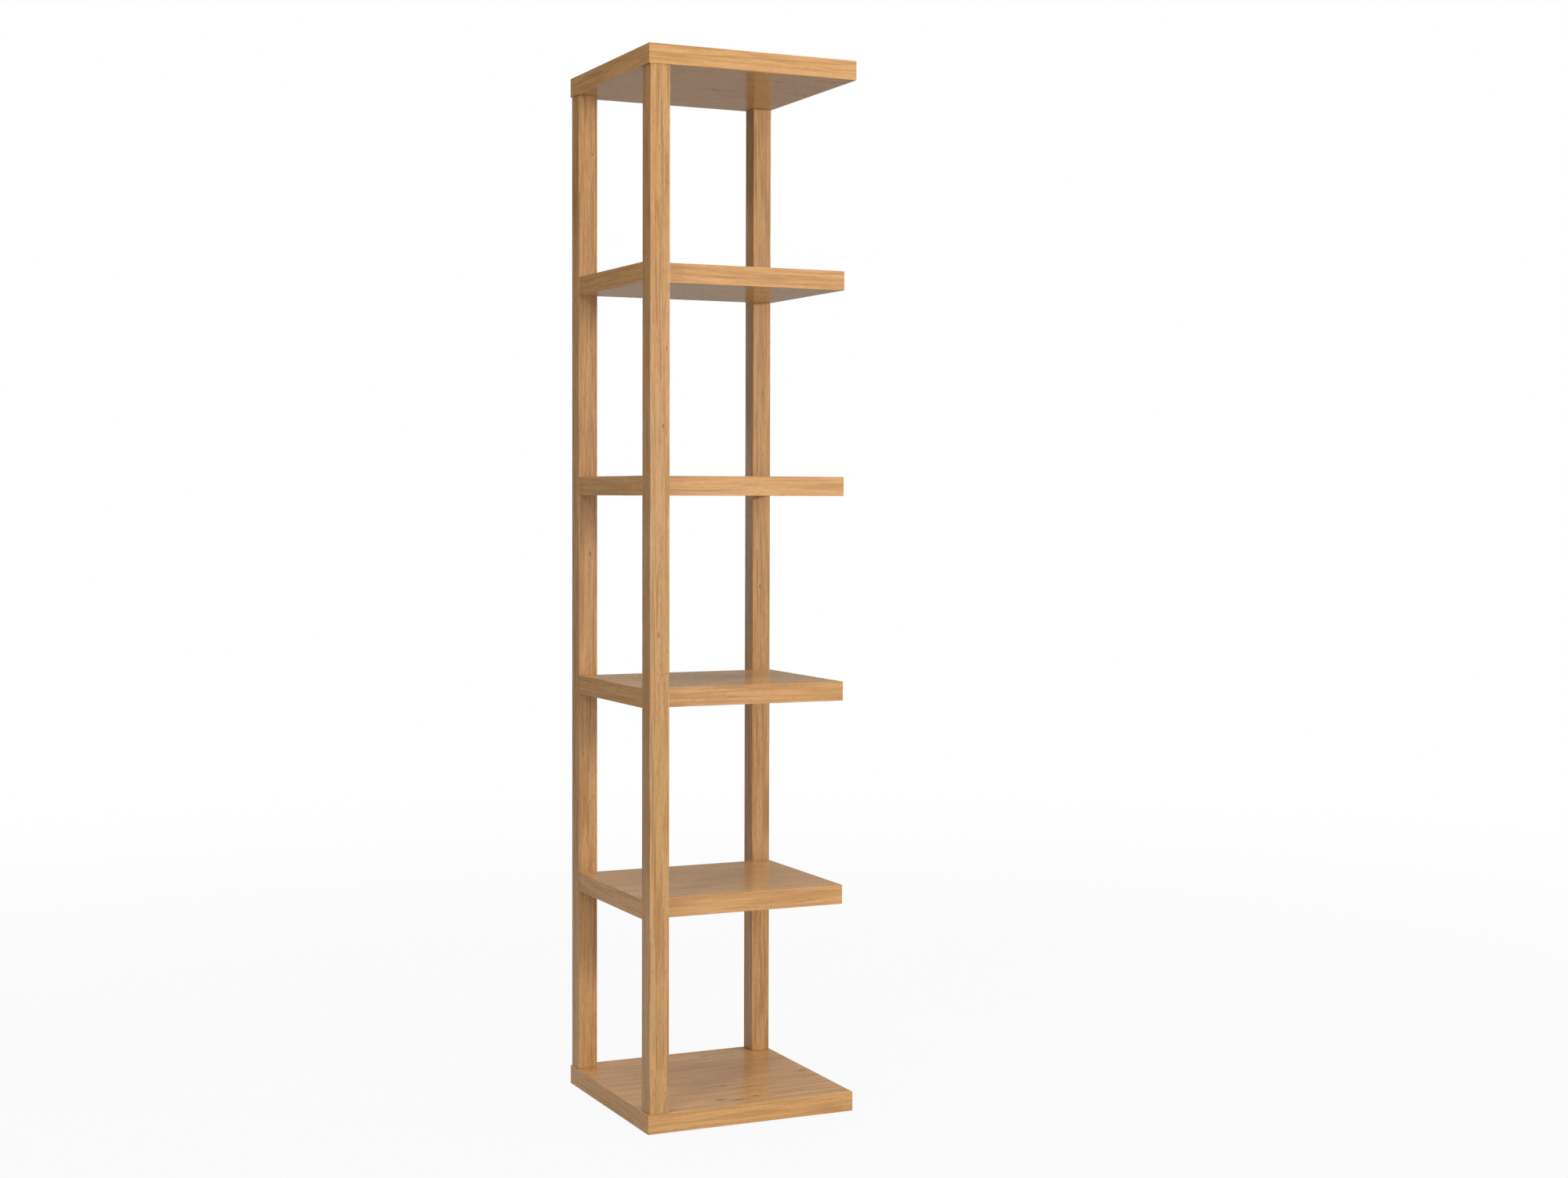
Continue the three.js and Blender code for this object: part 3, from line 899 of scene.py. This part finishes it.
class SHELVING_OT_stage(bpy.types.Operator):
    """Camera, pale floor, studio lights and surroundings"""

    bl_idname = "shelving.stage"
    bl_label = "Stage"
    bl_options = {"REGISTER", "UNDO"}

    def execute(self, context):
        stage = context.scene.stage
        context.scene.view_settings.view_transform = "Standard"
        self.make_camera(context, stage)
        self.make_floor(context, stage)
        self.make_surround(context, stage)
        lights = (
            ("front light", (-0.25, -6.5, 0.95), (0.0, 0.0, 0.9), (5.0, 2.4), stage.front_power),
            ("key light", (4.1, -3.4, 1.95), (0.0, 0.0, 0.8), (0.8, 0.8), stage.key_power),
            ("overhead light", (0.0, -0.6, 4.5), (0.0, 0.0, 0.0), (4.0, 4.0), stage.over_power),
            ("left light", (-4.5, -1.8, 0.5), (0.0, 0.0, 0.5), (2.0, 2.4), stage.left_power),
            ("back light", (3.6, 6.0, 1.1), (3.6, 0.0, 1.1), (6.5, 1.3), stage.back_power),
            ("side light", (-2.1, -1.8, 2.8), (0.0, 0.0, 0.9), (0.3, 0.3), stage.side_power),
            ("rear light", (1.5, 4.2, 3.4), (0.0, 0.0, 0.6), (3.0, 2.0), stage.rear_power),
            ("rear fill", (0.0, 6.0, 1.2), (0.0, 0.0, 0.9), (1.2, 1.6), stage.fill_power),
        )
        for light in lights:
            self.make_light(*light)
        bpy.data.lights["back light"].color = stage.bounce_color
        return {"FINISHED"}

    def make_camera(self, context, stage):
        data = bpy.data.cameras.new("camera")
        data.lens = stage.camera_lens
        data.sensor_width = 36.0
        data.shift_y = stage.camera_shift
        data.clip_start = 0.05
        data.clip_end = 200.0
        made = bpy.data.objects.new("camera", data)
        context.scene.collection.objects.link(made)
        turn = Matrix.Rotation(stage.camera_turn, 4, "Z")
        tilt = Matrix.Rotation(math.pi / 2 + stage.camera_tilt, 4, "X")
        roll = Matrix.Rotation(stage.camera_roll, 4, "Z")
        made.matrix_world = Matrix.Translation(stage.camera_place) @ turn @ tilt @ roll
        context.scene.camera = made

    def make_floor(self, context, stage):
        mesh = bmesh.new()
        bmesh.ops.create_grid(mesh, x_segments=2, y_segments=2, size=stage.floor_size / 2)
        data = bpy.data.meshes.new("studio_floor")
        mesh.to_mesh(data)
        mesh.free()
        made = bpy.data.objects.new("studio_floor", data)
        context.scene.collection.objects.link(made)
        s = Shader("pale floor")
        place = s.wire("ShaderNodeTexCoord", output="Object")
        x, y, _ = s.axes(place)
        reach = (x * x + y * y) ** 0.5
        diffuse = s.wire("ShaderNodeBsdfDiffuse", None, {"Color": (*stage.floor_color, 1.0)})
        seen = s.wire("ShaderNodeLightPath", output="Is Camera Ray")
        tint = s.blend(seen, tuple(stage.bounce_color), (1.0, 1.0, 1.0))
        white = s.wire("ShaderNodeEmission", None, {"Color": tint, "Strength": 1.0})
        clear = s.wire("ShaderNodeBsdfTransparent")
        bright, dim, gone = 1.2, 2.8, 4.5  # distances from the middle of the floor, in metres
        whiteness = 0.93
        # Painted light: for all rays but the camera's, the floor glows in the bounce colour. The glow is full
        # within 1.2 m of the middle and gone by 2.8 m, in place of light bounced off a lit floor.
        glow = (1 - s.between(reach, bright, dim)) * stage.floor_painted_glow
        share_of_white = seen * whiteness + (1 - seen) * glow
        surface = s.wire("ShaderNodeMixShader", None, {0: share_of_white, 1: diffuse, 2: white})
        far = s.between(reach, bright, gone) * seen
        faded = s.wire("ShaderNodeMixShader", None, {0: far, 1: surface, 2: clear})
        s.node("ShaderNodeOutputMaterial", None, {"Surface": faded})
        data.materials.append(s.material)

    def make_surround(self, context, stage):
        world = bpy.data.worlds.new("studio")
        context.scene.world = world
        world.use_nodes = True
        s = Shader("studio", world.node_tree)
        seen = s.wire("ShaderNodeLightPath", output="Is Camera Ray")
        ahead = s.wire("ShaderNodeTexCoord", output="Generated")
        height = s.axes(ahead)[2]
        start, full = 0.05, 0.5  # heights of a direction, as parts of its length
        overhead = s.between(height, start, full) * stage.dome
        strength = seen + (1 - seen) * overhead
        inputs = {"Color": (1.0, 1.0, 1.0, 1.0), "Strength": strength}
        background = s.wire("ShaderNodeBackground", None, inputs)
        s.node("ShaderNodeOutputWorld", None, {"Surface": background})

    def make_light(self, name, place, aim, sides, power):
        data = bpy.data.lights.new(name, "AREA")
        data.shape = "RECTANGLE"
        data.size, data.size_y = sides
        data.energy = power
        made = bpy.data.objects.new(name, data)
        bpy.context.scene.collection.objects.link(made)
        made.visible_camera = False
        made.location = place
        made.rotation_mode = "QUATERNION"
        made.rotation_quaternion = (Vector(aim) - Vector(place)).to_track_quat("-Z", "Y")


# ---------------------------------------------------------------- panel


STEPS = (
    SHELVING_OT_stage,
    SHELVING_OT_boards,
    SHELVING_OT_posts,
    SHELVING_OT_cams,
    SHELVING_OT_screws,
    SHELVING_OT_glides,
    SHELVING_OT_hidden,
)


class SHELVING_PT_unit(bpy.types.Panel):
    """Settings and steps of the shelving unit"""

    bl_label = "Shelving unit"
    bl_idname = "SHELVING_PT_unit"
    bl_space_type = "VIEW_3D"
    bl_region_type = "UI"
    bl_category = "Shelving"

    def draw(self, context):
        layout = self.layout
        for settings in (context.scene.oak, context.scene.fixings, context.scene.stage):
            box = layout.box()
            for name in settings.__annotations__:
                box.prop(settings, name)
        for step in STEPS:
            layout.operator(step.bl_idname)


GROUPS = {"oak": OakSettings, "fixings": FixingSettings, "stage": StageSettings}


def register():
    for cls in (*GROUPS.values(), *STEPS, SHELVING_PT_unit):
        bpy.utils.register_class(cls)
    for name, group in GROUPS.items():
        setattr(bpy.types.Scene, name, bpy.props.PointerProperty(type=group))


def unregister():
    for name in GROUPS:
        delattr(bpy.types.Scene, name)
    for cls in reversed((*GROUPS.values(), *STEPS, SHELVING_PT_unit)):
        bpy.utils.unregister_class(cls)


def main():
    register()
    for step in STEPS:
        category, name = step.bl_idname.split(".")
        getattr(getattr(bpy.ops, category), name)()


if __name__ == "__main__":
    main()
